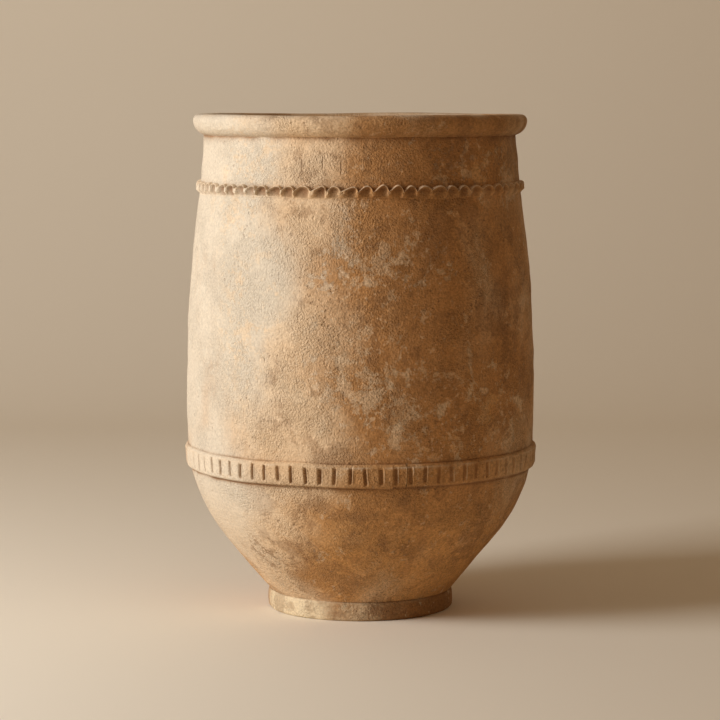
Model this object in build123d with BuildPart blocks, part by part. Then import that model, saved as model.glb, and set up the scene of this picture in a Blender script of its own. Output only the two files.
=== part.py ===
from build123d import *
import math
import os

# A large coil-built storage jar of buff earthenware. The potter raises the wall in lifts on a
# flat base disc, seats each lift on the bevelled edge of the one below, rolls a thick rim over
# the neck, and lutes two clay strips round the outside where lifts meet. The lower strip is
# notched with a stick, the upper one is pinched with a fingertip.
# Millimetres. +Z is up, the origin is the centre of the foot's underside, -Y faces the viewer.

# Foot and floor
foot_height = 21.0
foot_top_radius = 102.6
foot_swell = 0.9
foot_bottom_tuck = 1.8
floor_coil_width = 17.0
floor_coil_height = 15.0

# Wall: its widest outside radius, how far inside that its other radii lie, and the clay's thickness
belly_radius = 193.7
bowl_top_inset = 2.5
shoulder_inset = 15.5
neck_top_inset = 20.9
bowl_foot_inset = 0.6
wall_thickness = 16.5
neck_thickness = 14.5

# Heights of the wall's stretches, from the foot's top upwards
bowl_height = 147.0
body_height = 299.0
neck_height = 61.6
bowl_lift_count = 2
body_lift_count = 4
belly_height_share = 0.27

# The bowl flares straight up from the foot, leaning out this far from upright, then rounds in
bowl_flare_height = 60.5
bowl_lean_deg = 39.2

# Bevels between lifts: how much higher the joint is outside than inside
lift_bevel_rise = 10.0
rim_bevel_rise = 6.0
bevel_overrun = 3.0

# Rolled rim
rim_height = 23.4
rim_overhang = 12.4
rim_widest_height = 16.6
rim_crest_width = 9.5
rim_outer_round_width = 6.8
rim_inner_round = 10.5

# Lower strip, notched with the edge of a stick. A turn says how far round from the jar's right
# side the first mark of a strip is.
lower_band_width = 28.0
lower_band_face_width = 18.8
lower_band_thickness = 4.0
lower_band_above_joint = 5.0
notch_count = 76
notch_turn_deg = 1.7
notch_length = 18.0
notch_width = 3.8
notch_end_length = 2.4
notch_depth = 3.6

# Upper strip, pinched with a fingertip into a row of arched scoops
upper_band_width = 13.4
upper_band_thickness = 5.0
upper_band_above_joint = 4.5
upper_band_edge_chamfer = 1.6
scoop_count = 69
scoop_turn_deg = 0.5
arch_radius = 11.5
scoop_radius = 8.0
scoop_depth = 4.2
scoop_tilt_deg = 27.0
scoop_lip = 1.5

# Cutters run past what they cut by this much
cut_overrun = 12.0

# Radii and heights that follow from the sizes above
bowl_foot_radius = foot_top_radius - bowl_foot_inset
bowl_top_radius = belly_radius - bowl_top_inset
shoulder_radius = belly_radius - shoulder_inset
neck_top_radius = belly_radius - neck_top_inset
mouth_radius = neck_top_radius - neck_thickness
floor_radius = bowl_foot_radius - wall_thickness / math.cos(math.radians(bowl_lean_deg))
outer_reach = belly_radius + cut_overrun
bowl_top_z = foot_height + bowl_height
body_top_z = bowl_top_z + body_height
neck_top_z = body_top_z + neck_height
rim_top_z = neck_top_z + rim_height
belly_z = bowl_top_z + body_height * belly_height_share

os.makedirs("parts", exist_ok=True)


def wall_side(foot_radius, inset, top_radius, top_z):
    """Draws one side of the wall, from the foot up to the rim, and returns its two ends."""
    flare_width = bowl_flare_height * math.tan(math.radians(bowl_lean_deg))
    flare = Line((foot_radius, foot_height), (foot_radius + flare_width, foot_height + bowl_flare_height))
    bowl = TangentArc(flare @ 1, (bowl_top_radius - inset, bowl_top_z), tangent=flare % 1)
    body = ThreePointArc(bowl @ 1, (belly_radius - inset, belly_z), (shoulder_radius - inset, body_top_z))
    neck = Line(body @ 1, (top_radius, top_z))
    return flare @ 0, neck @ 1


# The section of the whole wall, from the foot's top to the rim's seat
with BuildSketch(Plane.XZ) as wall_section:
    with BuildLine():
        outer_foot, outer_top = wall_side(bowl_foot_radius, 0, neck_top_radius, neck_top_z)
        inner_foot, inner_top = wall_side(
            floor_radius, wall_thickness, mouth_radius, neck_top_z + rim_bevel_rise
        )
        Line(outer_foot, inner_foot)
        Line(outer_top, inner_top)
    make_face()


def outside_radius(height):
    """The wall's outside radius where a level line crosses its section."""
    level = Edge.make_line((0, height), (outer_reach, height))
    return (wall_section.sketch_local & level).bounding_box().max.X


def joint_path(height, rise):
    """What parts two lifts: level inside the jar, sloping up across the wall, level outside."""
    middle = outside_radius(height) - wall_thickness / 2
    half_run = wall_thickness / 2 + bevel_overrun
    half_rise = half_run * rise / wall_thickness
    return [
        (0, height - half_rise),
        (middle - half_run, height - half_rise),
        (middle + half_run, height + half_rise),
        (outer_reach, height + half_rise),
    ]


def lift(low_path, high_path):
    """One lift: the wall's section between two joints, turned round the jar's axis."""
    with BuildPart() as section:
        with BuildSketch(Plane.XZ):
            add(wall_section.sketch_local)
            with BuildLine():
                Polyline(*low_path, *reversed(high_path), close=True)
            make_face(mode=Mode.INTERSECT)
        revolve(axis=Axis.Z)
    return section.part


def write(piece, label):
    """Names a finished piece and writes it to its own file."""
    piece.label = label
    export_step(piece, f"parts/{label}.step")


# Joints from the foot's top to the rim. The first lift flares so far that its level edge is
# bevel enough, and the others rise outwards, so that the lift above sits inside a lip.
joint_paths = [[(0, foot_height), (outer_reach, foot_height)]]
for number in range(1, bowl_lift_count + 1):
    rise = lift_bevel_rise if number == bowl_lift_count else 0
    joint_paths.append(joint_path(foot_height + number * bowl_height / bowl_lift_count, rise))
for number in range(1, body_lift_count + 1):
    joint_z = bowl_top_z + number * body_height / body_lift_count
    joint_paths.append(joint_path(joint_z, lift_bevel_rise))
joint_paths.append([(0, rim_top_z), (outer_reach, rim_top_z)])

lift_names = [
    "bowl_lower_section",
    "bowl_upper_section",
    "belly_section",
    "body_lower_section",
    "body_upper_section",
    "shoulder_section",
    "neck_section",
]
for name, low, high in zip(lift_names, joint_paths, joint_paths[1:]):
    write(lift(low, high), name)


# Base disc: the flat floor that the potter starts from
with BuildPart() as base_disc:
    with BuildSketch():
        Circle(floor_radius)
    extrude(amount=foot_height)
write(base_disc.part, "base_disc")


# Foot ring: a thick coil luted round the disc, which carries the wall
with BuildPart() as foot_ring:
    with BuildSketch(Plane.XZ):
        with BuildLine():
            foot_side = ThreePointArc(
                (foot_top_radius - foot_bottom_tuck, 0),
                (foot_top_radius + foot_swell, foot_height / 2),
                (foot_top_radius, foot_height),
            )
            Polyline(foot_side @ 1, (floor_radius, foot_height), (floor_radius, 0), foot_side @ 0)
        make_face()
    revolve(axis=Axis.Z)
write(foot_ring.part, "foot_ring")


# Floor coil: a thin coil pressed into the angle between floor and wall, and smoothed to a slope
with BuildPart() as floor_coil:
    with BuildSketch(Plane.XZ):
        coil_lean = floor_coil_height * math.tan(math.radians(bowl_lean_deg))
        with BuildLine():
            Polyline(
                (floor_radius - floor_coil_width, foot_height),
                inner_foot,
                inner_foot + Vector(coil_lean, floor_coil_height),
                close=True,
            )
        make_face()
    revolve(axis=Axis.Z)
write(floor_coil.part, "floor_coil")


# Rolled rim: the last coil, folded outwards over the neck and smoothed to a round lip
with BuildPart() as rim_roll:
    widest = (neck_top_radius + rim_overhang, neck_top_z + rim_widest_height)
    crest_outer = (widest[0] - rim_outer_round_width, rim_top_z)
    crest_inner = (crest_outer[0] - rim_crest_width, rim_top_z)
    with BuildSketch(Plane.XZ):
        with BuildLine():
            TangentArc(widest, (neck_top_radius, neck_top_z), tangent=(0, -1))
            TangentArc(widest, crest_outer, tangent=(0, 1))
            Line(crest_outer, crest_inner)
            inside = (mouth_radius, rim_top_z - rim_inner_round)
            inner_round = TangentArc(crest_inner, inside, tangent=(-1, 0))
            Polyline(inner_round @ 1, inner_top, outer_top)
        make_face()
    revolve(axis=Axis.Z)
write(rim_roll.part, "rim_roll")


# Lower strip over the joint between bowl and belly, and the stick that presses its notches
lower_band_z = bowl_top_z + lower_band_above_joint
with BuildPart() as notch_tool:
    with BuildSketch(Plane.YZ.offset(outside_radius(lower_band_z) + lower_band_thickness - notch_depth)):
        straight_half = notch_length / 2 - notch_end_length
        with BuildLine():
            Polyline(
                (notch_width / 2, lower_band_z - straight_half),
                (notch_width / 2, lower_band_z + straight_half),
                (0, lower_band_z + notch_length / 2),
                (-notch_width / 2, lower_band_z + straight_half),
                (-notch_width / 2, lower_band_z - straight_half),
                (0, lower_band_z - notch_length / 2),
                close=True,
            )
        make_face()
    extrude(amount=notch_depth + cut_overrun)

with BuildPart() as notched_band:
    band_foot = lower_band_z - lower_band_width / 2
    band_head = lower_band_z + lower_band_width / 2
    face_foot = lower_band_z - lower_band_face_width / 2
    face_head = lower_band_z + lower_band_face_width / 2
    with BuildSketch(Plane.XZ):
        with BuildLine():
            Polyline(
                (outside_radius(band_foot) - wall_thickness / 2, band_foot),
                (outside_radius(band_foot), band_foot),
                (outside_radius(face_foot) + lower_band_thickness, face_foot),
                (outside_radius(face_head) + lower_band_thickness, face_head),
                (outside_radius(band_head), band_head),
                (outside_radius(band_head) - wall_thickness / 2, band_head),
                close=True,
            )
        make_face()
        add(wall_section.sketch_local, mode=Mode.SUBTRACT)
    revolve(axis=Axis.Z)
    with PolarLocations(0, notch_count, start_angle=notch_turn_deg):
        add(notch_tool.part, mode=Mode.SUBTRACT)
write(notched_band.part, "notched_band")


# Upper strip over the joint between shoulder and neck. Its top edge is a row of arches, and
# this ring is what lies above them all.
upper_band_z = body_top_z + upper_band_above_joint
strip_foot = upper_band_z - upper_band_width / 2
strip_head = upper_band_z + upper_band_width / 2
strip_seat = outside_radius(upper_band_z) - wall_thickness / 2
strip_face = outside_radius(upper_band_z) + upper_band_thickness
with BuildPart() as above_arches:
    arch_centre_z = strip_head - arch_radius
    with BuildSketch(Plane.XY.offset(arch_centre_z)):
        Circle(outer_reach)
        Circle(strip_seat - cut_overrun, mode=Mode.SUBTRACT)
    extrude(amount=arch_radius + cut_overrun)
    with PolarLocations(0, scoop_count, start_angle=scoop_turn_deg):
        with Locations(Location((strip_seat, 0, arch_centre_z), (0, 90, 0))):
            Cylinder(arch_radius, 2 * (outer_reach - strip_seat + cut_overrun), mode=Mode.SUBTRACT)

# The fingertip leans inwards, so its press is a slanting hollow, arched above and flat below
with BuildPart() as fingertip:
    tilt = math.radians(scoop_tilt_deg)
    deepest = Vector(strip_face - scoop_depth, 0, strip_head - scoop_lip - scoop_depth / math.tan(tilt))
    tip_centre = deepest + Vector(math.cos(tilt), 0, -math.sin(tilt)) * scoop_radius
    with BuildSketch(Plane(origin=tip_centre, z_dir=(math.sin(tilt), 0, math.cos(tilt)))):
        Circle(scoop_radius)
    extrude(amount=upper_band_width + cut_overrun)

with BuildPart() as pinched_band:
    with BuildSketch(Plane.XY.offset(strip_foot)):
        flat_turn = scoop_turn_deg + 180 / scoop_count
        RegularPolygon(strip_face, scoop_count, major_radius=False, rotation=flat_turn)
        Circle(strip_seat, mode=Mode.SUBTRACT)
    extrude(amount=upper_band_width + upper_band_edge_chamfer)
    lower_edges = pinched_band.edges().filter_by(GeomType.LINE).group_by(Axis.Z)[0]
    chamfer(lower_edges, length=upper_band_edge_chamfer)
    with BuildSketch(Plane.XZ):
        add(wall_section.sketch_local)
    revolve(axis=Axis.Z, mode=Mode.SUBTRACT)
    add(above_arches.part, mode=Mode.SUBTRACT)
    with PolarLocations(0, scoop_count, start_angle=scoop_turn_deg):
        add(fingertip.part, mode=Mode.SUBTRACT)
write(pinched_band.part, "pinched_band")
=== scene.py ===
import bpy
import math
import numpy as np
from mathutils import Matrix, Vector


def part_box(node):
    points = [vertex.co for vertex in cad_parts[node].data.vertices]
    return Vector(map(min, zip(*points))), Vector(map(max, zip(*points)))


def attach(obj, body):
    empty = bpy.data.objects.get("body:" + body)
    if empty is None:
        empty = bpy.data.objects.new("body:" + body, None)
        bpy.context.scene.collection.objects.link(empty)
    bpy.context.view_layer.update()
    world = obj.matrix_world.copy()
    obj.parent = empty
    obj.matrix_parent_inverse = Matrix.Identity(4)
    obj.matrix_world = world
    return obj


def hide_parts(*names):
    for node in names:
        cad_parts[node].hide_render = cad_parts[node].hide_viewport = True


# Large coil-built storage jar. Metres, Z up, the foot's underside is centred on the origin
# and the camera looks along +Y. Every clay piece is one closed grid turned round the axis.
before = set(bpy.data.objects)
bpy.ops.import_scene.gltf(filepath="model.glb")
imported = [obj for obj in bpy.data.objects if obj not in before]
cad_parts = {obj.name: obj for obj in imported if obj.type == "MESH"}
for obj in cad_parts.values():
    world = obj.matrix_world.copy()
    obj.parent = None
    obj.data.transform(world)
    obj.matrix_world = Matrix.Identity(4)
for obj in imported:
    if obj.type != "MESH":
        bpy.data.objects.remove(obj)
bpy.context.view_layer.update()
print("frame loaded")

fullTurn = 2 * math.pi
front = -math.pi / 2  # angle of the side that faces the camera


# helpers for turned clay

def waves(points, size, seed, count=26):
    # smooth random field of about unit height, with lumps of the given size
    rng = np.random.default_rng(seed)
    aim = rng.normal(size=(count, 3))
    aim /= np.linalg.norm(aim, axis=1)[:, None]
    pace = fullTurn / size * rng.uniform(0.6, 1.4, count)
    phase = rng.uniform(0, fullTurn, count)
    field = np.zeros(points.shape[:-1])
    for direction, k, start in zip(aim, pace, phase):
        field += np.cos(points @ direction * k + start)
    return field * math.sqrt(2 / count)


def arcPoints(start, heading, end, count):
    # points along the circle that leaves start in the direction heading and meets end
    start, heading, end = (np.array(p, float) for p in (start, heading, end))
    heading /= np.linalg.norm(heading)
    chord = end - start
    side = np.array([-heading[1], heading[0]])
    side *= np.sign(side @ chord)
    radius = chord @ chord / (2 * (side @ chord))
    turn = np.linspace(0, 2 * math.atan2(side @ chord, heading @ chord), count)[:, None]
    return start + radius * (np.sin(turn) * heading + (1 - np.cos(turn)) * side)


def turned(radius, height, angle):
    return np.stack(np.broadcast_arrays(radius * np.cos(angle), radius * np.sin(angle), height), -1)


def ring(count):
    return np.linspace(0, fullTurn, count, endpoint=False)[None, :]


def past(angle, mark):
    # angle past a mark, from half a turn before it to half a turn after it
    return (angle - mark + math.pi) % fullTurn - math.pi


def fading(distance, reach):
    return np.exp(-np.abs(distance) / reach)


def hump(value, centre, width):
    return np.exp(-((value - centre) / width) ** 2)


def rounded(away, reach, power, fullness):
    # rises from 0 at an edge to 1 at the given reach away from it, as a rounded corner does
    return np.clip(1 - np.clip(1 - away / reach, 0, 1) ** power, 0, 1) ** fullness


def clayPiece(name, points, material, normals=None, caps=False, masks=None):
    # rows x columns of points, outside rows going up; rows join end to end unless capped;
    # masks are drawn on the points for the material to read: painted shade, and pale edges that are
    # partly rubbed wear and partly a painted highlight
    rows, columns = points.shape[:2]
    index = np.arange(rows * columns).reshape(rows, columns)
    if not caps:
        index = np.vstack([index, index[:1]])
    index = np.hstack([index, index[:, :1]])
    quads = np.stack([index[:-1, :-1], index[:-1, 1:], index[1:, 1:], index[1:, :-1]], -1)
    faces = quads.reshape(-1, 4).tolist()
    if caps:
        faces += [index[0, :-1][::-1].tolist(), index[-1, :-1].tolist()]
    mesh = bpy.data.meshes.new(name)
    mesh.from_pydata(points.reshape(-1, 3).tolist(), [], faces)
    mesh.shade_smooth()
    if normals is not None:
        mesh.normals_split_custom_set_from_vertices(normals.reshape(-1, 3).tolist())
    for label, mask in (masks or {}).items():
        drawn = np.clip(np.broadcast_to(mask, (rows, columns)), 0, 1).ravel().astype(np.float32)
        mesh.attributes.new(label, "FLOAT", "POINT").data.foreach_set("value", drawn)
    mesh.materials.append(material)
    piece = bpy.data.objects.new("clay." + name, mesh)
    bpy.context.collection.objects.link(piece)
    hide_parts(name)
    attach(piece, "root")


# helpers for node trees

def put(tree, kind, inputs=None, **settings):
    # adds a node; an input that is a socket is linked, and anything else is set on the socket
    made = tree.nodes.new(kind)
    for key, value in settings.items():
        setattr(made, key, value)
    for key, value in (inputs or {}).items():
        if isinstance(value, bpy.types.NodeSocket):
            tree.links.new(value, made.inputs[key])
        else:
            made.inputs[key].default_value = value
    return made


def noise(tree, place, size, detail, rough, warp=0.0):
    # noise whose lumps are about size metres across
    return put(tree, "ShaderNodeTexNoise", {
        "Vector": place, "Scale": 1 / size, "Detail": detail, "Roughness": rough, "Distortion": warp,
    }).outputs["Fac"]


def cells(tree, place, count):
    # distance to the nearest of random points, with about count of them to a metre
    return put(tree, "ShaderNodeTexVoronoi", {"Vector": place, "Scale": count}).outputs["Distance"]


def stretched(tree, place, scale, shift=(0, 0, 0)):
    return put(tree, "ShaderNodeMapping", {
        "Vector": place, "Scale": scale, "Location": shift,
    }).outputs["Vector"]


def ramp(tree, value, low, high, toLow=0.0, toHigh=1.0):
    return put(tree, "ShaderNodeMapRange", {
        "Value": value, "From Min": low, "From Max": high, "To Min": toLow, "To Max": toHigh,
    }, interpolation_type="SMOOTHSTEP").outputs["Result"]


def maths(tree, operation, a, b):
    return put(tree, "ShaderNodeMath", {0: a, 1: b}, operation=operation).outputs[0]


def times(tree, a, b):
    return maths(tree, "MULTIPLY", a, b)


def plus(tree, a, b):
    return maths(tree, "ADD", a, b)


def minus(tree, a, b):
    return maths(tree, "SUBTRACT", a, b)


def largest(tree, *values):
    most = values[0]
    for value in values[1:]:
        most = maths(tree, "MAXIMUM", most, value)
    return most


def tint(tree, amount, a, b, blend="MIX"):
    return put(tree, "ShaderNodeMix", {"Factor": amount, 6: a, 7: b},
               data_type="RGBA", blend_type=blend).outputs[2]


def group(name, inputs, outputs):
    # empty node group with named sockets; returns the tree, its inputs and its output node
    tree = bpy.data.node_groups.new(name, "ShaderNodeTree")
    for label, (kind, default) in inputs.items():
        socket = tree.interface.new_socket(label, in_out="INPUT", socket_type=kind)
        if default is not None:
            socket.default_value = default
    for label, kind in outputs.items():
        tree.interface.new_socket(label, in_out="OUTPUT", socket_type=kind)
    start = tree.nodes.new("NodeGroupInput")
    end = tree.nodes.new("NodeGroupOutput")
    return tree, start.outputs, end


# weathering: places is where the clay is paler, browner, stained or scratched, as
# (x, y, z, reach) on the surface; on the side that faces the camera the paler places to the left
# and the browner ones to the right are partly the clay's own colour and partly painted light
# and painted shade; layers is, for each layer, its places, how far they lift
# the noise, the low and high of the noise between which the layer fades in, and its strength
weathering = {
    "places": {
        "limewashAndPaintedLight": [
            (-0.260, -0.060, 0.300, 0.320), (-0.240, -0.060, 0.500, 0.300),
            (-0.210, -0.110, 0.150, 0.200), (-0.135, -0.160, 0.385, 0.140),
            (0.150, 0.240, 0.420, 0.260),
        ],
        "buff": [
            (-0.100, -0.190, 0.220, 0.150), (-0.100, -0.190, 0.330, 0.150),
            (-0.100, -0.180, 0.430, 0.150), (-0.100, -0.170, 0.520, 0.140),
            (-0.120, -0.130, 0.110, 0.120), (-0.080, -0.072, 0.006, 0.085),
            (-0.080, 0.200, 0.300, 0.240),
        ],
        "tan": [
            (0.150, -0.190, 0.320, 0.250), (0.120, -0.190, 0.500, 0.190),
            (0.090, -0.150, 0.090, 0.170), (0.060, -0.090, 0.010, 0.110),
            (-0.180, 0.160, 0.120, 0.220),
        ],
        "bloom": [
            (-0.150, -0.120, 0.330, 0.130), (-0.080, -0.180, 0.290, 0.110),
            (0.010, -0.195, 0.260, 0.095), (0.090, -0.170, 0.215, 0.080),
            (0.160, -0.110, 0.230, 0.060), (0.060, -0.180, 0.400, 0.060),
            (-0.120, -0.130, 0.480, 0.110), (0.120, 0.150, 0.360, 0.110),
            (-0.060, 0.180, 0.240, 0.090), (-0.010, -0.190, 0.395, 0.080),
            (0.000, -0.180, 0.310, 0.060), (0.110, -0.135, 0.495, 0.060),
            (0.162, -0.070, 0.490, 0.055),
        ],
        "stain": [
            (0.155, -0.110, 0.330, 0.065), (0.105, -0.145, 0.500, 0.065),
            (0.160, -0.080, 0.500, 0.060), (-0.060, -0.120, 0.090, 0.065),
            (0.030, -0.140, 0.100, 0.060), (0.100, -0.150, 0.420, 0.060),
            (-0.100, -0.100, 0.080, 0.060), (0.020, -0.105, 0.008, 0.034),
            (0.110, -0.100, 0.080, 0.050), (-0.120, 0.140, 0.420, 0.080),
            (0.050, 0.150, 0.120, 0.060),
        ],
        "flakes": [
            (0.085, -0.170, 0.210, 0.045), (0.140, -0.130, 0.235, 0.045),
            (0.075, -0.100, 0.075, 0.070), (-0.150, 0.090, 0.300, 0.060),
            (0.125, -0.120, 0.490, 0.045), (0.165, -0.060, 0.500, 0.040),
        ],
        "scratches": [
            (-0.0390, -0.1710, 0.5020, 0.0010), (-0.0195, -0.1745, 0.4975, 0.0012),
            (-0.0610, -0.1640, 0.5000, 0.0008),
        ],
    },
    "core": 0.2,  # share of a place's reach within which it pulls fully
    "layers": {
        "bloom": ("bloom", 0.062, 0.592, 0.616, 0.46),
        "scuff": ("bloom", 0.062, 0.590, 0.616, 0.40),
        "fleck": ("bloom", 0.066, 0.612, 0.640, 0.55),
        "worn": ("stain", 0.050, 0.520, 0.560, 0.40),
        "stain": ("stain", 0.150, 0.660, 0.700, 0.55),
        "flake": ("flakes", 0.190, 0.705, 0.730, 0.70),
        "haze": ("limewashAndPaintedLight", 0.66, 0.62, 1.06, 0.92),
        "buff": ("buff", 0.45, 0.50, 0.88, 0.85),
        "tan": ("tan", 0.45, 0.48, 0.86, 0.90),
    },
    "clouds": {"size": 0.12, "detail": 5, "rough": 0.6, "warp": 0.5},
    "broad": {"size": 0.060, "detail": 9, "rough": 0.66, "warp": 0.7},
    "ragged": {"size": 0.024, "detail": 10, "rough": 0.74, "warp": 0.3},
    "flecked": {"size": 0.0090, "detail": 8, "rough": 0.78},
    "speck": {"size": 0.0030, "detail": 4, "rough": 0.72},
    "cloudStretch": (1, 1, 0.6),
    "cloudShift": (0.37, 0.11, 0.05),
    "broadShare": 0.62,
    "raggedShare": 0.38,
    "warmedFrom": 0.4,
    "ochreTop": 0.125,  # the bowl is a warmer clay than the body, up to this height
    "ochreEdge": 0.050,
    "ochreColour": 0.85,
    "ochreChalk": 0.45,
    "speckLow": 0.30,
    "speckHigh": 0.70,
    "speckDark": -0.58,
    "speckPale": 0.42,
    "speckBuff": 0.24,  # contrast of the speckle on the paler and on the browner clay
    "speckTan": 0.48,
}


def spots(tree, place, places):
    # highest where the place is in one of the spots, and zero outside them all
    near = []
    for x, y, z, reach in places:
        away = put(tree, "ShaderNodeVectorMath", {0: place, 1: (x, y, z)}, operation="DISTANCE")
        near.append(ramp(tree, away.outputs["Value"], reach, reach * weathering["core"]))
    return largest(tree, *near)


# fired clay: body colour with clouds, lime bloom, dark stains and orange flakes, and paler and
# browner drifts that are partly painted light on the front's left and painted shade on its right
clayColour, given, done = group(
    "fired clay colour",
    {
        "Body": ("NodeSocketColor", None), "Buff": ("NodeSocketColor", None),
        "Tan": ("NodeSocketColor", None), "Pale": ("NodeSocketColor", None),
        "Dark": ("NodeSocketColor", None), "Orange": ("NodeSocketColor", None),
        "Weathering": ("NodeSocketFloat", 1.0), "Ochre": ("NodeSocketFloat", 0.0),
    },
    {"Color": "NodeSocketColor", "Bloom": "NodeSocketFloat"},
)
place = put(clayColour, "ShaderNodeTexCoord").outputs["Object"]
streaky = stretched(clayColour, place, weathering["cloudStretch"], weathering["cloudShift"])
clouds = noise(clayColour, streaky, **weathering["clouds"])
broad, ragged, flecked, speck = (
    noise(clayColour, place, **weathering[field])
    for field in ("broad", "ragged", "flecked", "speck")
)
torn = plus(clayColour, times(clayColour, broad, weathering["broadShare"]),
            times(clayColour, ragged, weathering["raggedShare"]))


def drift(layer, field):
    # a mask that gathers in the layer's places, with the field's edges
    places, pull, low, high, strength = weathering["layers"][layer]
    near = times(clayColour, spots(clayColour, place, weathering["places"][places]), pull)
    return ramp(clayColour, plus(clayColour, field, near), low, high, 0.0, strength)


def patches(layer, field):
    # the same, but as strong as the finish is weathered
    return times(clayColour, drift(layer, field), given["Weathering"])


bloom = patches("bloom", torn)
scuff = patches("scuff", ragged)
fleck = patches("fleck", flecked)
worn = patches("worn", minus(clayColour, 1.0, torn))
stain = patches("stain", flecked)
flake = patches("flake", ragged)
# the haze, buff and tan drifts are partly the clay's own colour, and partly painted light on the
# front's left and painted shade on its right
haze = drift("haze", clouds)
buff = drift("buff", clouds)
tan = drift("tan", minus(clayColour, 1.0, clouds))
warmed = spots(clayColour, place, weathering["places"]["tan"])
warmed = ramp(clayColour, warmed, 0.0, weathering["warmedFrom"])
aboveFoot = put(clayColour, "ShaderNodeSeparateXYZ", {"Vector": place}).outputs["Z"]
ochre = ramp(clayColour, aboveFoot, weathering["ochreTop"] + weathering["ochreEdge"],
             weathering["ochreTop"] - weathering["ochreEdge"])
ochre = times(clayColour, ochre, given["Ochre"])
# blooms take the buff colour where the clay is browner, on the side with painted shade
cream = tint(clayColour, largest(clayColour, buff, warmed), given["Pale"], given["Buff"])
chalk = tint(clayColour, times(clayColour, ochre, weathering["ochreChalk"]),
             given["Pale"], given["Buff"])
colour = tint(clayColour, tan, given["Body"], given["Tan"])
colour = tint(clayColour, times(clayColour, ochre, weathering["ochreColour"]),
              colour, given["Orange"])
for mask, over in [
    (buff, given["Buff"]), (worn, given["Dark"]), (haze, chalk), (scuff, cream), (bloom, cream),
    (fleck, cream), (stain, given["Dark"]), (flake, given["Orange"]),
]:
    colour = tint(clayColour, mask, colour, over)
# speckle between 0.86 and 1.10 of the colour, and twice as strong on the browner clay
contrast = ramp(clayColour, warmed, 0.0, 1.0, weathering["speckBuff"], weathering["speckTan"])
shade = ramp(clayColour, speck, weathering["speckLow"], weathering["speckHigh"],
             weathering["speckDark"], weathering["speckPale"])
shade = plus(clayColour, times(clayColour, shade, contrast), 1.0)
grey = put(clayColour, "ShaderNodeCombineColor", {"Red": shade, "Green": shade, "Blue": shade})
colour = tint(clayColour, 1.0, colour, grey.outputs["Color"], "MULTIPLY")
clayColour.links.new(colour, done.inputs["Color"])
clayColour.links.new(largest(clayColour, bloom, haze), done.inputs["Bloom"])

# clay skin: grit, pits where grit fell out, and wiped streaks, as a height that the
# finish's relief scales; grains, pits and nicks lie in cells, counted to a metre
clayGrain = {
    "coarse": {"size": 0.0120, "detail": 5, "rough": 0.62},
    "fine": {"size": 0.0022, "detail": 3, "rough": 0.70},
    "patchy": {"size": 0.050, "detail": 4, "rough": 0.6},
    "strokes": {"size": 0.030, "detail": 5, "rough": 0.6},
    "pitted": {"size": 0.040, "detail": 4, "rough": 0.65},
    "nicked": {"size": 0.070, "detail": 2, "rough": 0.5},
    "grains": 460.0,
    "pits": {"count": 190.0, "edge": (0.33, 0.08), "spread": (0.48, 0.66)},
    "nicks": {"count": 62.0, "edge": (0.085, 0.045), "spread": (0.52, 0.60)},
    "bends": {"Scale": 210.0, "Detail": 2.0},
    "bendReach": 0.007,
    "wipeStretch": (1, 1, 9),
    "nickStretch": (1, 1, 0.22),
    "scratchSqueeze": 0.1,
    "patchyRamp": (0.38, 0.62, 0.30, 1.15),
    "fineHeight": 0.85,
    "grainDepth": 0.40,
    "coarseHeight": 0.60,
    "holeDepth": 0.42,
    "strokeHeight": 0.6,
}
claySkin, given, done = group(
    "clay skin",
    {"Grit": ("NodeSocketFloat", 1.0), "Wiping": ("NodeSocketFloat", 1.0)},
    {"Height": "NodeSocketFloat", "Pits": "NodeSocketFloat"},
)
place = put(claySkin, "ShaderNodeTexCoord").outputs["Object"]
coarse, fine, patchy, pitted, nicked = (
    noise(claySkin, place, **clayGrain[field])
    for field in ("coarse", "fine", "patchy", "pitted", "nicked")
)
strokes = noise(claySkin, stretched(claySkin, place, clayGrain["wipeStretch"]), **clayGrain["strokes"])
grains = cells(claySkin, place, clayGrain["grains"])
pushed = put(claySkin, "ShaderNodeTexNoise", {"Vector": place, **clayGrain["bends"]}).outputs["Color"]
pushed = put(claySkin, "ShaderNodeVectorMath", {0: pushed, 3: clayGrain["bendReach"]},
             operation="SCALE").outputs["Vector"]
bent = put(claySkin, "ShaderNodeVectorMath", {0: place, 1: pushed}, operation="ADD").outputs["Vector"]
upright = stretched(claySkin, place, clayGrain["nickStretch"])


def punched(kind, place, field):
    # holes in the middle of cells, where the noise field is high
    hole = clayGrain[kind]
    holes = ramp(claySkin, cells(claySkin, place, hole["count"]), *hole["edge"])
    return times(claySkin, holes, ramp(claySkin, field, *hole["spread"]))


pits = punched("pits", bent, pitted)
nicks = punched("nicks", upright, nicked)
squeeze = clayGrain["scratchSqueeze"]
scratches = [(x, y * squeeze, z * squeeze, reach)
             for x, y, z, reach in weathering["places"]["scratches"]]
scratched = spots(claySkin, stretched(claySkin, place, (1, squeeze, squeeze)), scratches)
holes = largest(claySkin, pits, nicks, scratched)
grit = minus(claySkin, times(claySkin, fine, clayGrain["fineHeight"]),
             times(claySkin, grains, clayGrain["grainDepth"]))
grit = times(claySkin, grit, ramp(claySkin, patchy, *clayGrain["patchyRamp"]))
grit = plus(claySkin, grit, times(claySkin, coarse, clayGrain["coarseHeight"]))
grit = minus(claySkin, grit, times(claySkin, holes, clayGrain["holeDepth"]))
wiping = times(claySkin, times(claySkin, strokes, clayGrain["strokeHeight"]), given["Wiping"])
height = plus(claySkin, times(claySkin, grit, given["Grit"]), wiping)
claySkin.links.new(height, done.inputs["Height"])
claySkin.links.new(holes, done.inputs["Pits"])

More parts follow.
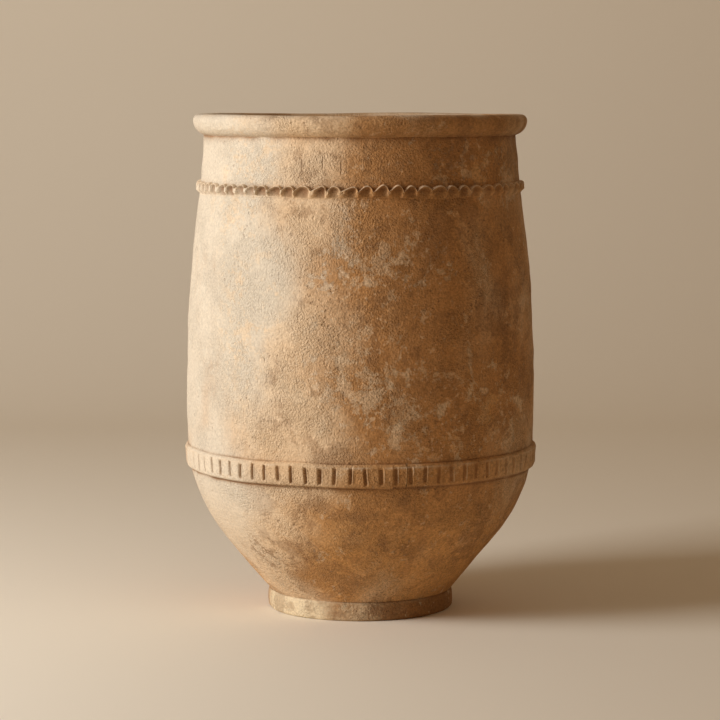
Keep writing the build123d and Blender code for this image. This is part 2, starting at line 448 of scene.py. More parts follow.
# clay finishes: the colours and amounts that go into the two groups, and the relief in metres
finishes = {
    "wall clay": {
        "colour": {
            "Body": (0.53, 0.285, 0.116, 1), "Buff": (0.79, 0.580, 0.370, 1),
            "Tan": (0.51, 0.250, 0.088, 1), "Pale": (0.675, 0.588, 0.462, 1),
            "Dark": (0.27, 0.130, 0.050, 1), "Orange": (0.62, 0.320, 0.110, 1),
            "Weathering": 1.0, "Ochre": 1.0,
        },
        "skin": {"Grit": 1.0, "Wiping": 0.5},
        "relief": 0.0029,
    },
    "rim clay": {
        "colour": {
            "Body": (0.53, 0.300, 0.130, 1), "Buff": (0.74, 0.535, 0.332, 1),
            "Tan": (0.47, 0.234, 0.083, 1), "Pale": (0.68, 0.590, 0.462, 1),
            "Dark": (0.27, 0.130, 0.050, 1), "Orange": (0.62, 0.34, 0.14, 1),
            "Weathering": 1.0, "Ochre": 0.0,
        },
        "skin": {"Grit": 0.9, "Wiping": 0.7},
        "relief": 0.0026,
    },
    "strip clay": {
        "colour": {
            "Body": (0.54, 0.306, 0.133, 1), "Buff": (0.74, 0.525, 0.320, 1),
            "Tan": (0.50, 0.250, 0.090, 1), "Pale": (0.72, 0.610, 0.465, 1),
            "Dark": (0.21, 0.096, 0.035, 1), "Orange": (0.62, 0.34, 0.14, 1),
            "Weathering": 0.6, "Ochre": 0.0,
        },
        "skin": {"Grit": 1.0, "Wiping": 0.4},
        "relief": 0.0019,
    },
    "foot clay": {
        # the foot's Body and Tan are darker than the wall's: partly its own colour, partly painted
        # shade low by the floor
        "colour": {
            "Body": (0.36, 0.172, 0.056, 1), "Buff": (0.84, 0.700, 0.470, 1),
            "Tan": (0.30, 0.145, 0.050, 1), "Pale": (0.61, 0.475, 0.308, 1),
            "Dark": (0.22, 0.102, 0.036, 1), "Orange": (0.52, 0.27, 0.10, 1),
            "Weathering": 1.0, "Ochre": 0.0,
        },
        "skin": {"Grit": 0.9, "Wiping": 1.2},
        "relief": 0.0020,
    },
    "bloomFull": 0.9,
    "filledBelow": 0.62,  # share of the pits and grit left where lime bloom fills them
    "pitDark": 0.45,
    # how pale the partly highlit edges get, and how dark the painted shade gets
    "rubbedAndHighlitPale": 0.75,
    "paintedShadeDark": 0.9,
    "roughness": 0.82,
    "bloomRoughness": 0.95,
    "specular": 0.25,
}


def clay(name):
    finish = finishes[name]
    dark, buff, pale = (finish["colour"][label] for label in ("Dark", "Buff", "Pale"))
    material = bpy.data.materials.new(name)
    material.use_nodes = True
    tree = material.node_tree
    tree.nodes.clear()
    look = put(tree, "ShaderNodeGroup", finish["colour"], node_tree=clayColour)
    skin = put(tree, "ShaderNodeGroup", finish["skin"], node_tree=claySkin)
    bloomed = look.outputs["Bloom"]
    filled = ramp(tree, bloomed, 0.0, finishes["bloomFull"], 1.0, finishes["filledBelow"])
    pits = times(tree, ramp(tree, skin.outputs["Pits"], 0, 1, 0.0, finishes["pitDark"]), filled)
    colour = tint(tree, pits, look.outputs["Color"], dark)
    # pale edges: partly rubbed wear, partly a painted highlight
    edge = put(tree, "ShaderNodeAttribute", attribute_name="rubbedAndHighlit").outputs["Fac"]
    rubbedAndHighlitColour = tuple((low + high) / 2 for low, high in zip(buff, pale))
    colour = tint(tree, ramp(tree, edge, 0.0, 1.0, 0.0, finishes["rubbedAndHighlitPale"]), colour, rubbedAndHighlitColour)
    # painted shade: the mask darkens the colour towards Dark
    shadeAmount = put(tree, "ShaderNodeAttribute", attribute_name="paintedShade").outputs["Fac"]
    colour = tint(tree, ramp(tree, shadeAmount, 0.0, 1.0, 0.0, finishes["paintedShadeDark"]), colour, dark)
    height = times(tree, skin.outputs["Height"], filled)
    bump = put(tree, "ShaderNodeBump", {
        "Height": height, "Strength": 1.0, "Distance": finish["relief"],
    })
    roughness = ramp(tree, bloomed, 0, 1, finishes["roughness"], finishes["bloomRoughness"])
    shader = put(tree, "ShaderNodeBsdfPrincipled", {
        "Base Color": colour, "Roughness": roughness, "Normal": bump.outputs["Normal"],
        "Specular IOR Level": finishes["specular"],
    })
    put(tree, "ShaderNodeOutputMaterial", {"Surface": shader.outputs["BSDF"]})
    return material


wallClay = clay("wall clay")
rimClay = clay("rim clay")
stripClay = clay("strip clay")
footClay = clay("foot clay")
print("clay finishes made")


# wall

wall = {
    "lean": math.radians(39.2),  # of the bowl's straight flare, from upright
    "flareHeight": 0.0605,
    "footRadius": 0.1020,
    "bowlTopInset": 0.0025,
    "shoulderInset": 0.0155,
    "neckTopInset": 0.0209,
    "thickness": 0.0165,
    "neckThickness": 0.0145,
    "bellyShare": 0.27,
    "bowlPoints": 80,
    "bodyPoints": 160,
    "columns": 384,
    "outerStep": 0.0038,
    "innerStep": 0.0060,
    "creaseStep": 0.0015,
    "creaseRows": 5,
    "rowGap": 0.0004,
    "normalStep": 0.0025,
    "outOfRound": 0.0004,
    "outOfRoundSize": 0.50,
    "dents": 0.00030,
    "dentSize": 0.090,
    "pats": 0.00016,
    "patSize": 0.026,
    "innerDents": 0.00066,
    "innerDentSize": 0.054,
    "innerRidges": 0.0008,
    "ridgePitch": 0.021,
    "ridgeWander": 1.1,
    "ridgeWanderSize": 0.20,
    # how much the painted shade in the creases varies round the wall, and the size of its lumps
    "shadeDrift": 0.22,
    "shadeDriftSize": 0.030,
}

liftNodes = ["bowl_lower_section", "bowl_upper_section", "belly_section", "body_lower_section",
             "body_upper_section", "shoulder_section", "neck_section"]
liftLows = [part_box(node)[0].z for node in liftNodes]
liftHighs = [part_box(node)[1].z for node in liftNodes]
rimLow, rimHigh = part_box("rim_roll")
lowerStripLow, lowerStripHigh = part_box("notched_band")
upperStripLow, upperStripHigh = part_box("pinched_band")
footTop = liftLows[0]
bowlTop = (liftHighs[1] + liftLows[2]) / 2
bodyTop = (liftHighs[5] + liftLows[6]) / 2
neckTop = rimLow.z
innerNeckTop = liftHighs[6]
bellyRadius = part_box("belly_section")[1].x
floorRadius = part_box("base_disc")[1].x
neckTopRadius = bellyRadius - wall["neckTopInset"]
mouthRadius = neckTopRadius - wall["neckThickness"]

# painted shade in the creases at the foot, the strips and the rim: height, reach and strength
creases = [
    (footTop, 0.0022, 0.45),
    (lowerStripLow.z, 0.0020, 1.00),
    (lowerStripHigh.z - 0.0013, 0.0020, 0.60),
    (upperStripLow.z, 0.0012, 0.30),
    (upperStripHigh.z - 0.003, 0.0030, 0.60),
    (neckTop, 0.0040, 0.85),
]


def wallSection(inside):
    # points of the wall's outer or inner face, from the foot up
    inset = wall["thickness"] if inside else 0.0
    foot = floorRadius if inside else wall["footRadius"]
    top = (mouthRadius, innerNeckTop) if inside else (neckTopRadius, neckTop)
    flareTop = (foot + wall["flareHeight"] * math.tan(wall["lean"]), footTop + wall["flareHeight"])
    heading = (math.sin(wall["lean"]), math.cos(wall["lean"]))
    bowlEnd = (bellyRadius - wall["bowlTopInset"] - inset, bowlTop)
    bowl = arcPoints(flareTop, heading, bowlEnd, wall["bowlPoints"])
    bellyHeight = bowlTop + wall["bellyShare"] * (bodyTop - bowlTop)
    shoulderRadius = bellyRadius - wall["shoulderInset"] - inset
    bulge = np.polyfit([bowlTop, bellyHeight, bodyTop],
                       [bowlEnd[0], bellyRadius - inset, shoulderRadius], 2)
    heights = np.linspace(bowlTop, bodyTop, wall["bodyPoints"])[1:]
    body = np.stack([np.polyval(bulge, heights), heights], 1)
    return np.vstack([[(foot, footTop)], bowl, body, [top]])


sections = {inside: wallSection(inside) for inside in (False, True)}


def wallFace(height, angle, inside=False):
    # radius of the wall as the potter's hands left it
    section = sections[inside]
    smooth = np.interp(height, section[:, 1], section[:, 0])
    at = turned(smooth, height, angle)
    uneven = wall["outOfRound"] * waves(at, wall["outOfRoundSize"], 3)
    if inside:
        wander = waves(at, wall["ridgeWanderSize"], 11) * wall["ridgeWander"]
        ridges = np.sin(fullTurn * height / wall["ridgePitch"] + wander)
        uneven += (wall["innerRidges"] * ridges
                   + wall["innerDents"] * waves(at, wall["innerDentSize"], 12))
    else:
        uneven += (wall["dents"] * waves(at, wall["dentSize"], 4)
                   + wall["pats"] * waves(at, wall["patSize"], 5))
    return smooth + uneven


def wallPoints(height, angle, inside=False):
    return turned(wallFace(height, angle, inside), height, angle)


def wallNormals(height, angle, inside=False):
    # normals from steps along and round the wall, so that they run on across joints
    step = wall["normalStep"]
    turn = step / bellyRadius
    up = wallPoints(height + step, angle, inside) - wallPoints(height - step, angle, inside)
    along = wallPoints(height, angle + turn, inside) - wallPoints(height, angle - turn, inside)
    normal = np.cross(along, up)
    normal /= np.linalg.norm(normal, axis=-1)[..., None]
    return -normal if inside else normal


def beltWaves(height, angle, size, seed):
    return waves(turned(bellyRadius, height, angle), size, seed)


def creaseShade(height, angle):
    # painted shade that fades away from each crease
    near = np.zeros(np.broadcast_shapes(height.shape, angle.shape))
    drifted = 1 + wall["shadeDrift"] * beltWaves(height, angle, wall["shadeDriftSize"], 8)
    for crease, reach, amount in creases:
        near = np.maximum(near, amount * drifted * fading(height - crease, reach))
    return near


def evenRows(low, high, step):
    return np.linspace(low, high, round(abs(high - low) / step) + 1)


def outerHeights(low, high):
    # even rows, with more where a crease runs, so that its painted shade is drawn sharply
    steps = (np.arange(wall["creaseRows"]) - wall["creaseRows"] // 2) * wall["creaseStep"]
    crowd = [crease + step for crease, reach, amount in creases for step in steps]
    extra = [height for height in crowd if low + wall["rowGap"] < height < high - wall["rowGap"]]
    return np.sort(np.concatenate([evenRows(low, high, wall["outerStep"]), extra]))[:, None]


outerJoints = [footTop, *liftHighs[:-1], neckTop]
innerJoints = [footTop, *liftLows[1:], innerNeckTop]
around = ring(wall["columns"])
for number, node in enumerate(liftNodes):
    outerRows = outerHeights(*outerJoints[number:number + 2])
    innerRows = evenRows(innerJoints[number + 1], innerJoints[number], wall["innerStep"])[:, None]
    points = np.vstack([wallPoints(outerRows, around), wallPoints(innerRows, around, True)])
    normals = np.vstack([wallNormals(outerRows, around), wallNormals(innerRows, around, True)])
    # painted shade in the creases, on the outer face only
    paintedShade = np.vstack([creaseShade(outerRows, around), np.zeros((len(innerRows), wall["columns"]))])
    clayPiece(node, points, wallClay, normals, masks={"paintedShade": paintedShade})
print("wall lifts raised")


# foot, floor and the coil between them

foot = {
    "radius": 0.1026,
    "swell": 0.0009,
    "edgeRound": 0.0034,
    "topRound": 0.0026,
    "sideRows": 9,
    "edgeRows": 7,
    "topRows": 5,
    "dents": 0.00045,
    "dentSize": 0.070,
    "pats": 0.000135,
    "patSize": 0.021,
    "columns": 320,
    "hubRadius": 0.004,
    "floorRings": 22,
    "floorDentSize": 0.04,
    "floorDip": 1.5,
    "floorFade": 0.006,
    "swirlPitch": 0.019,
    "swirl": 0.0005,
    "swirlDip": 1.2,
    "coilWidth": 0.017,
    "coilHeight": 0.015,
    "coilRows": 12,
    "coilSag": 0.0008,
    "coilDents": 0.00027,
    "coilDentSize": 0.03,
    "coilPress": (0.6, -0.8),  # outward and upward share of a fingertip's press on the coil
    # pale top edge of the foot: partly rubbed wear, partly a painted highlight
    "rubbedAndHighlit": 0.55,
    "rubbedAndHighlitReach": 0.0022,
    "rubbedAndHighlitPatches": 0.5,
    "rubbedAndHighlitPatchSize": 0.05,
}
around = ring(foot["columns"])
sideHeights = np.linspace(foot["edgeRound"], footTop - foot["topRound"], foot["sideRows"])
sideShare = (sideHeights - footTop / 2) / (footTop / 2)
side = np.stack([foot["radius"] + foot["swell"] * (1 - sideShare ** 2), sideHeights], 1)
underEdge = (side[0, 0] - foot["edgeRound"], 0.0)
topEdge = (side[-1, 0] - foot["topRound"], footTop)
section = np.vstack([
    [(floorRadius, 0.0)],
    arcPoints(underEdge, (1, 0), side[0], foot["edgeRows"]),
    side[1:],
    arcPoints(side[-1], (0, 1), topEdge, foot["topRows"])[1:],
    [(wall["footRadius"] - wall["thickness"] / 2, footTop), (floorRadius, footTop)],
])
radius, height = section[:, :1], section[:, 1:]
at = turned(radius, height, around)
outward = np.clip((radius - underEdge[0]) / foot["edgeRound"], 0, 1)
uneven = foot["dents"] * waves(at, foot["dentSize"], 21) + foot["pats"] * waves(at, foot["patSize"], 22)
# pale top edge of the foot: partly rubbed wear, partly a painted highlight
rubbedAndHighlit = foot["rubbedAndHighlit"] * outward * fading(height - footTop, foot["rubbedAndHighlitReach"])
rubbedAndHighlit = rubbedAndHighlit * (1 + foot["rubbedAndHighlitPatches"] * waves(at, foot["rubbedAndHighlitPatchSize"], 23))
clayPiece("foot_ring", turned(radius + uneven * outward, height, around), footClay,
          masks={"rubbedAndHighlit": rubbedAndHighlit})

discTop = np.linspace(floorRadius, foot["hubRadius"], foot["floorRings"])
radius = np.concatenate([[foot["hubRadius"], floorRadius], discTop])[:, None]
height = np.concatenate([[0.0, 0.0], np.full(len(discTop), footTop)])[:, None]
at = turned(radius, height, around)
swirl = np.sin(fullTurn * radius / foot["swirlPitch"] + around)
lift = foot["swirl"] * (swirl - foot["swirlDip"])
lift = lift + foot["dents"] * (waves(at, foot["floorDentSize"], 25) - foot["floorDip"])
onTop = (height > footTop / 2) * np.clip((floorRadius - radius) / foot["floorFade"], 0, 1)
clayPiece("base_disc", turned(radius, height + lift * onTop, around), footClay, caps=True)

coilTop = (floorRadius + foot["coilHeight"] * math.tan(wall["lean"]), footTop + foot["coilHeight"])
coilToe = (floorRadius - foot["coilWidth"], footTop)
down = np.linspace(0, 1, foot["coilRows"])[:, None]
slope = np.array(coilTop) * (1 - down) + np.array(coilToe) * down
section = np.vstack([[(floorRadius, footTop)], slope])
radius, height = section[:, :1], section[:, 1:]
at = turned(radius, height, around)
sag = np.concatenate([[[0.0]], 4 * down * (1 - down)])
press = sag * (foot["coilSag"] + foot["coilDents"] * waves(at, foot["coilDentSize"], 27))
pressOut, pressUp = foot["coilPress"]
clayPiece("floor_coil", turned(radius + press * pressOut, height + press * pressUp, around),
          wallClay)
print("foot and floor made")


# rolled rim

rim = {
    "overhang": 0.0120,
    "widestHeight": 0.0166,
    "outerRound": 0.0068,
    "crestWidth": 0.0095,
    "innerRound": 0.0105,
    "underRows": 12,
    "roundRows": 10,
    "tuck": 0.0020,
    "rootFade": 0.006,
    "waver": 0.00050,
    "waverSize": 0.19,
    "waverDip": 1.2,
    "dents": 0.00022,
    "dentSize": 0.050,
    # pale crest: partly rubbed wear, partly a painted highlight
    "rubbedAndHighlit": 0.50,
    "rubbedAndHighlitReach": 0.0035,
    "rubbedAndHighlitPatches": 0.5,
    "rubbedAndHighlitPatchSize": 0.04,
    # painted shade on the underside of the roll: strength, reach, and how it varies round
    "shadeAmount": 0.45,
    "shadeReach": 0.0050,
    "shadePatches": 0.2,
    "shadePatchSize": 0.05,
    "columns": 384,
}
around = ring(rim["columns"])
rimTop = rimHigh.z
widest = np.array([neckTopRadius + rim["overhang"], neckTop + rim["widestHeight"]])
crestOuter = np.array([widest[0] - rim["outerRound"], rimTop])
crestInner = crestOuter - (rim["crestWidth"], 0)
innerEnd = np.array([mouthRadius, rimTop - rim["innerRound"]])
seat = (neckTopRadius - rim["tuck"], neckTop - rim["tuck"] / 2)
section = np.vstack([
    [seat],
    arcPoints(widest, (0, -1), (neckTopRadius, neckTop), rim["underRows"])[::-1],
    arcPoints(widest, (0, 1), crestOuter, rim["roundRows"])[1:],
    arcPoints(crestInner, (-1, 0), innerEnd, rim["roundRows"]),
    [(mouthRadius, innerNeckTop + (innerEnd[1] - innerNeckTop) / 2), (mouthRadius, innerNeckTop)],
])
radius, height = section[:, :1], section[:, 1:]
at = turned(radius, height, around)
lipUp, lipOut = (waves(turned(widest[0], rimTop, around), rim["waverSize"], seed) for seed in (31, 32))
free = np.clip((height - neckTop) / rim["rootFade"], 0, 1)
share = np.clip((height - neckTop) / (rimTop - neckTop), 0, 1)
outer = radius + (rim["waver"] * lipOut + rim["dents"] * waves(at, rim["dentSize"], 33)) * free
upper = height + rim["waver"] * (lipUp - rim["waverDip"]) * share
# pale crest on top of the roll: partly rubbed wear, partly a painted highlight
crest = rim["rubbedAndHighlit"] * fading(height - rimTop, rim["rubbedAndHighlitReach"])
crest = crest * (1 + rim["rubbedAndHighlitPatches"] * waves(at, rim["rubbedAndHighlitPatchSize"], 34))
# painted shade under the roll, where it overhangs the neck
under = rim["shadeAmount"] * fading(height - neckTop, rim["shadeReach"]) * (radius > neckTopRadius)
under = under * (1 + rim["shadePatches"] * waves(at, rim["shadePatchSize"], 35))
clayPiece("rim_roll", turned(outer, upper, around), rimClay,
          masks={"rubbedAndHighlit": crest, "paintedShade": under})
print("rim rolled")


# helpers for the two strips

def faceRows(count):
    # shares from 0 at the foot of a strip's face to 1 at its top, closer at both ends
    return (0.5 - 0.5 * np.cos(np.linspace(0, math.pi, count)))[:, None]


def fainter(strip, angle):
    # the presses are fainter round the strip's worn side
    return 1 - strip["faint"] * np.clip(np.cos(angle - strip["faintAngle"]), 0, 1) ** 2


def stripPiece(name, strip, proud, height, paintedShade, rubbedAndHighlit):
    # the face stands proud of the wall, and two rows sunk in the wall close the back
    face = wallFace(height, around)
    ends = [-1, 0]
    points = np.vstack([turned(face + proud, height, around),
                        turned(face[ends] - strip["sunk"], height[ends], around)])
    # the painted shade and the pale, partly highlit edges are drawn on the face rows only
    masks = {label: np.vstack([mask, np.zeros_like(mask[ends])])
             for label, mask in {"paintedShade": paintedShade, "rubbedAndHighlit": rubbedAndHighlit}.items()}
    clayPiece(name, points, stripClay, masks=masks)


# lower strip, notched with a stick

notched = {
    "proud": 0.0038,
    "faceWaves": 0.00022,
    "faceWaveSize": 0.028,
    "rows": 23,
    "count": 76,
    "turn": math.radians(1.7),  # angle of the first notch
    "jitter": 0.05,  # in pitches
    # a pair is the least and the most by which one value is multiplied at random, but rises
    # are in metres
    "notchDepth": 0.0038,
    "depths": (0.70, 1.0),
    "halfWidth": 0.0020,
    "widths": (0.75, 1.15),
    "halfLength": 0.0096,
    "lengths": (0.90, 1.04),
    "lean": 0.05,
    "leans": (-1.5, 1.0),
    "rises": (-0.0010, 0.0008),
    # across a notch in half-widths: how deep the stick went, and how high the burr stands
    "stick": [(-1.5, 0), (-1.15, 0.10), (-0.85, 0.72), (0.2, 1.0), (0.8, 0.85), (1.0, 0.0)],
    "burr": [(0.95, 0.0), (1.25, 1.0), (1.7, 0.0)],
    "burrHeight": 0.00070,
    "stickEnd": 9,
    "burrEnd": 6,
    "burrLength": 1.1,
    # columns crowd at the walls of each notch: in half-widths there, and in pitches between
    "columnsIn": [-1.9, -1.5, -1.15, -0.85, -0.45, 0.0, 0.45, 0.80, 1.0, 1.25, 1.7],
    "columnsBetween": [-0.5, -0.38, -0.27],
    "faintAngle": front + math.radians(58),
    "faint": 0.45,
    "sunk": 0.0025,
    "lapAngle": front + math.radians(10.2),
    "lapReach": 0.30,
    "lapStep": 0.0016,
    "lapDrop": 1.6,
    "lapLift": 0.8,
    "lapProud": 0.7,
    "topSag": 0.0014,
    "waver": 0.0004,
    "lowWaverSize": 0.11,
    "highWaverSize": 0.09,
    "footRounding": (0.15, 2.4, 0.5),
    "topRounding": (0.16, 2.2, 0.55),
    # painted shade in the notches and along the strip's foot
    "notchShade": 0.85,
    "footShade": 0.9,
    "footShadeReach": 0.0011,
    # pale burrs and top edge: partly rubbed wear, partly a painted highlight
    "rubbedAndHighlitBurr": 0.6,
    "rubbedAndHighlitEdge": 0.45,
    "rubbedAndHighlitEdgeAt": 0.13,
    "rubbedAndHighlitEdgeWidth": 0.05,
    "rubbedAndHighlitPatches": 0.5,
}
rng = np.random.default_rng(7)
count = notched["count"]
pitch = fullTurn / count
centres = (np.arange(count) + notched["jitter"] * rng.uniform(-1, 1, count)) * pitch + notched["turn"]
halfWidths = notched["halfWidth"] * rng.uniform(*notched["widths"], count)
between = np.array(notched["columnsBetween"]) * pitch * bellyRadius
offset = np.hstack([np.tile(between, (count, 1)), np.array(notched["columnsIn"]) * halfWidths[:, None],
                    np.tile(-between[:0:-1], (count, 1))])
columnsEach = offset.shape[1]
around = (centres[:, None] + offset / bellyRadius).reshape(1, -1)
offset = offset.reshape(1, -1)


def each(values):
    # one value for each notch, spread over its columns
    return np.repeat(values, columnsEach)[None, :]


def perNotch(limits):
    return each(rng.uniform(*limits, count))


def profile(across, pairs):
    return np.interp(across, *zip(*pairs))


t = faceRows(notched["rows"])
pastLap = past(around, notched["lapAngle"])
lap = np.where(pastLap < 0, np.exp(pastLap / notched["lapReach"]), 0)
lowWaver = notched["waver"] * beltWaves(lowerStripLow.z, around, notched["lowWaverSize"], 41)
highWaver = notched["waver"] * beltWaves(lowerStripHigh.z, around, notched["highWaverSize"], 42)
low = lowerStripLow.z + lowWaver - notched["lapStep"] * (notched["lapDrop"] * lap - notched["lapLift"])
high = lowerStripHigh.z - notched["topSag"] + highWaver
height = low + t * (high - low)
rounding = rounded(t, *notched["footRounding"]) * rounded(1 - t, *notched["topRounding"])
middle = (lowerStripLow.z + lowerStripHigh.z) / 2
slant = notched["lean"] * (height - middle) * perNotch(notched["leans"])
across = (offset - slant) / each(halfWidths)
rise = height - middle - perNotch(notched["rises"])
along = np.abs(rise) / (notched["halfLength"] * perNotch(notched["lengths"]))
pressed = profile(across, notched["stick"]) * np.clip(1 - along ** notched["stickEnd"], 0, 1)
pressed = pressed * fainter(notched, around)
burrEnd = np.clip(notched["burrLength"] - along ** notched["burrEnd"], 0, 1)
burr = profile(across, notched["burr"]) * burrEnd
depth = notched["notchDepth"] * perNotch(notched["depths"])
patchy = beltWaves(height, around, notched["faceWaveSize"], 43)
proud = notched["proud"] + notched["lapStep"] * notched["lapProud"] * lap
proud = proud + notched["faceWaves"] * patchy
proud = (proud + burr * notched["burrHeight"] - pressed * depth) * rounding
# painted shade along the strip's foot and in the notches
footShade = notched["footShade"] * fading(height - low, notched["footShadeReach"])
# pale burrs and top edge: partly rubbed wear, partly a painted highlight
topEdge = notched["rubbedAndHighlitEdge"] * hump(1 - t, notched["rubbedAndHighlitEdgeAt"], notched["rubbedAndHighlitEdgeWidth"])
edges = np.maximum(notched["rubbedAndHighlitBurr"] * burr * rounding, topEdge)
stripPiece("notched_band", notched, proud, height, np.maximum(notched["notchShade"] * pressed, footShade),
           edges * (1 + notched["rubbedAndHighlitPatches"] * patchy))
print("notched strip luted on")


# upper strip, pinched with a fingertip: each press is pushed to the right, so that its left
# side is a slope and its right side a steep lip

pinched = {
    "proud": 0.0048,
    "rows": 23,
    "count": 69,
    "perScoop": 26,
    "turn": math.radians(0.5),  # angle of the first press
    "jitter": 0.20,  # in pitches
    "archDrop": 0.0056,
    "archDrops": (0.60, 1.15),
    "archPower": 2.3,
    "skew": 0.34,
    "skews": (0.5, 1.1),
    "scoopDepth": 0.0046,
    "scoopDepths": (0.80, 1.05),
    "scoopWidths": (0.66, 0.94),
    "scoopPower": 4,
    "scoopFullness": 0.9,
    "lean": 0.22,
    "leans": (0.4, 1.3),
    # shares of the face's height: the lip left above a scoop, how far its head and foot fade,
    # and the slope of the strip's own foot
    "lip": 0.07,
    "headReach": 0.24,
    "scoopFoot": 0.10,
    "footReach": 0.46,
    "headPower": 0.6,
    "footPower": 1.2,
    "topPower": 9,
    "topFullness": 0.5,
    "lipRoll": 0.0009,
    "lipRollAt": 0.93,
    "lipRollWidth": 0.06,
    "sunk": 0.0025,
    "bigAngle": front + math.radians(9.0),
    "bigReach": math.radians(7.0),
    "bigRise": 0.0022,
    "bigLip": 1.5,
    "faintAngle": front + math.radians(58),
    "faint": 0.32,
    "waver": 0.0004,
    "lowWaverSize": 0.10,
    "highWaverSize": 0.05,
    "headJitter": 0.0008,
    "headJitters": (-1, 0.5),
    # painted shade in the scoops
    "shaded": 1.28,
    "shadedFoot": 0.45,
    "shadedRise": 0.60,
    "shadedMiddle": 0.85,
    "shadedSide": 0.15,
    # pale top lip: partly rubbed wear, partly a painted highlight
    "rubbedAndHighlitLip": 0.95,
    "rubbedAndHighlitLipAt": 0.95,
}
rng = np.random.default_rng(19)
count, steps = pinched["count"], pinched["perScoop"]
pitch = fullTurn / count
centres = (np.arange(count) + pinched["jitter"] * rng.uniform(-1, 1, count)) * pitch + pinched["turn"]
nextCentres = np.append(centres[1:], centres[0] + fullTurn)
cusps = (centres + nextCentres) / 2
lastCusps = np.append(cusps[-1] - fullTurn, cusps[:-1])
local = np.linspace(-1, 1, steps, endpoint=False)
around = np.where(local[None, :] < 0, centres[:, None] + local * (centres - lastCusps)[:, None],
                  centres[:, None] + local * (cusps - centres)[:, None]).reshape(1, -1)
s = np.tile(local, count)[None, :]  # from -1 to 1 across each scoop


def perScoop(limits):
    return np.repeat(rng.uniform(*limits, count), steps)[None, :]


t = faceRows(pinched["rows"])
big = hump(past(around, pinched["bigAngle"]), 0, pinched["bigReach"])
skewed = s - pinched["skew"] * perScoop(pinched["skews"]) * (1 - s ** 2)
lowWaver = pinched["waver"] * beltWaves(upperStripLow.z, around, pinched["lowWaverSize"], 51)
highWaver = pinched["waver"] * beltWaves(upperStripHigh.z, around, pinched["highWaverSize"], 52)
low = upperStripLow.z + lowWaver
arch = pinched["archDrop"] * perScoop(pinched["archDrops"]) * np.abs(skewed) ** pinched["archPower"]
high = upperStripHigh.z - arch + pinched["bigRise"] * big * (1 - skewed ** 2) + highWaver
high = high + pinched["headJitter"] * perScoop(pinched["headJitters"]) * (1 - s ** 2)
height = low + t * (high - low)
# the strip slopes out from its foot and rounds over in the upper half of its face
body = np.clip(1 - np.clip(2 * t - 1, 0, 1) ** pinched["topPower"], 0, 1) ** pinched["topFullness"]
body = body * np.clip(t / pinched["footReach"], 0, 1) ** pinched["footPower"]
shifted = skewed + pinched["lean"] * perScoop(pinched["leans"]) * (1 - t)
hollow = np.clip(1 - np.abs(shifted / perScoop(pinched["scoopWidths"])) ** pinched["scoopPower"], 0, 1)
hollow = hollow ** pinched["scoopFullness"]
fall = np.clip((1 - pinched["lip"] - t) / pinched["headReach"], 0, 1) ** pinched["headPower"]
fall = fall * np.clip(t / pinched["scoopFoot"], 0, 1)
scooped = perScoop(pinched["scoopDepths"]) * hollow * fall * fainter(pinched, around)
lipRoll = pinched["lipRoll"] * hump(t, pinched["lipRollAt"], pinched["lipRollWidth"])
proud = (pinched["proud"] - pinched["scoopDepth"] * scooped) * body
proud = proud + lipRoll * (1 + pinched["bigLip"] * big)
# painted shade lies thickest high in a scoop, against its steep right side
shaded = pinched["shaded"] * scooped * (pinched["shadedFoot"] + pinched["shadedRise"] * t)
shaded = shaded * (pinched["shadedMiddle"] + pinched["shadedSide"] * s)
# pale top lip: partly rubbed wear, partly a painted highlight
rubbedAndHighlitLip = pinched["rubbedAndHighlitLip"] * hump(t, pinched["rubbedAndHighlitLipAt"], pinched["lipRollWidth"])
stripPiece("pinched_band", pinched, proud, height, shaded, np.broadcast_to(rubbedAndHighlitLip, shaded.shape))
print("pinched strip luted on")


# studio: floor and backdrop in one pale sweep, a soft light from the left and a weak warm fill

studio = {
    "sweep": (0.87, 0.795, 0.665, 1),
    "sweepRoughness": 0.9,
    "backdrop": (0.56, 0.49, 0.39, 1),
    "world": (1.0, 0.66, 0.38, 1),
    "worldStrength": 0.212,
    "keyPower": 56.5,
    "keySize": 1.1,
    "keyDistance": 2.3,
    "keyAzimuth": math.radians(68),
    "keyHeight": 1.15,
    "wallBehind": 1.6,
    "bend": 0.8,
    "bendPoints": 16,
    "halfWidth": 4.0,
    "nearEdge": -4.5,
    "top": 3.5,
}
bendEnd = studio["wallBehind"] + studio["bend"]
bend = arcPoints((studio["wallBehind"], 0), (1, 0), (bendEnd, studio["bend"]), studio["bendPoints"])
sweepLine = [(studio["nearEdge"], 0.0), *bend.tolist(), (bendEnd, studio["top"])]
sweepPoints = [(x, y, z) for y, z in sweepLine for x in (-studio["halfWidth"], studio["halfWidth"])]
sweepFaces = [(2 * i, 2 * i + 1, 2 * i + 3, 2 * i + 2) for i in range(len(sweepLine) - 1)]
sweepMesh = bpy.data.meshes.new("sweep")
sweepMesh.from_pydata(sweepPoints, [], sweepFaces)
sweepMesh.shade_smooth()
sweep = bpy.data.objects.new("sweep", sweepMesh)
bpy.context.collection.objects.link(sweep)
paper = bpy.data.materials.new("paper")
paper.use_nodes = True
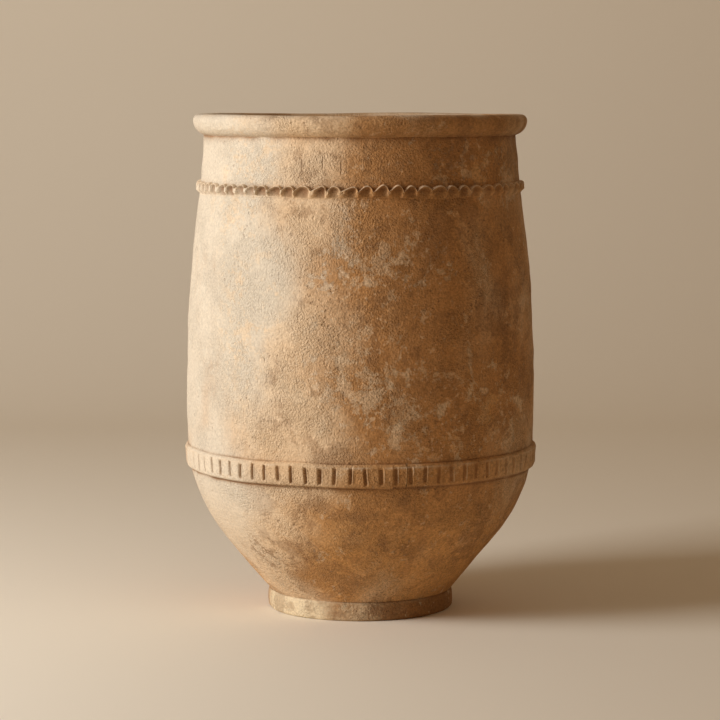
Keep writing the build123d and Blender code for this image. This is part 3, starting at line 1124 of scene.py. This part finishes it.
paperShader = paper.node_tree.nodes["Principled BSDF"]
paperShader.inputs["Base Color"].default_value = studio["sweep"]
paperShader.inputs["Roughness"].default_value = studio["sweepRoughness"]
sweepMesh.materials.append(paper)

keyLight = bpy.data.lights.new("key", "AREA")
keyLight.energy = studio["keyPower"]
keyLight.size = studio["keySize"]
key = bpy.data.objects.new("key", keyLight)
key.location = (-studio["keyDistance"] * math.sin(studio["keyAzimuth"]),
                -studio["keyDistance"] * math.cos(studio["keyAzimuth"]), studio["keyHeight"])
aim = bpy.data.objects.new("aim", None)
aim.location = (0, 0, rimTop / 2)
for extra in (key, aim):
    bpy.context.collection.objects.link(extra)
follow = key.constraints.new("TRACK_TO")
follow.target = aim
follow.track_axis = "TRACK_NEGATIVE_Z"
follow.up_axis = "UP_Y"

world = bpy.data.worlds.new("room")
bpy.context.scene.world = world
world.use_nodes = True
sky = world.node_tree
sky.nodes.clear()
rays = put(sky, "ShaderNodeLightPath").outputs
seen = largest(sky, rays["Is Camera Ray"], rays["Is Glossy Ray"], rays["Is Transmission Ray"])
fill = put(sky, "ShaderNodeBackground", {"Color": studio["world"], "Strength": studio["worldStrength"]})
backdrop = put(sky, "ShaderNodeBackground", {"Color": studio["backdrop"], "Strength": 1.0})
mixed = put(sky, "ShaderNodeMixShader", {0: seen, 1: fill.outputs[0], 2: backdrop.outputs[0]})
put(sky, "ShaderNodeOutputWorld", {"Surface": mixed.outputs[0]})
bpy.context.scene.view_settings.view_transform = "Standard"

# camera: long lens, a little above the jar's mouth and tipped down
camera = {
    "distance": 3.009,
    "height": 0.580,
    "tip": math.radians(5.75),
    "lens": 135,
    "sensor": 36,
}
eye = bpy.data.cameras.new("camera")
eye.lens = camera["lens"]
eye.sensor_width = camera["sensor"]
eyeObject = bpy.data.objects.new("camera", eye)
eyeObject.location = (0, -camera["distance"], camera["height"])
eyeObject.rotation_euler = (math.pi / 2 - camera["tip"], 0, 0)
bpy.context.collection.objects.link(eyeObject)
bpy.context.scene.camera = eyeObject
print("studio set")
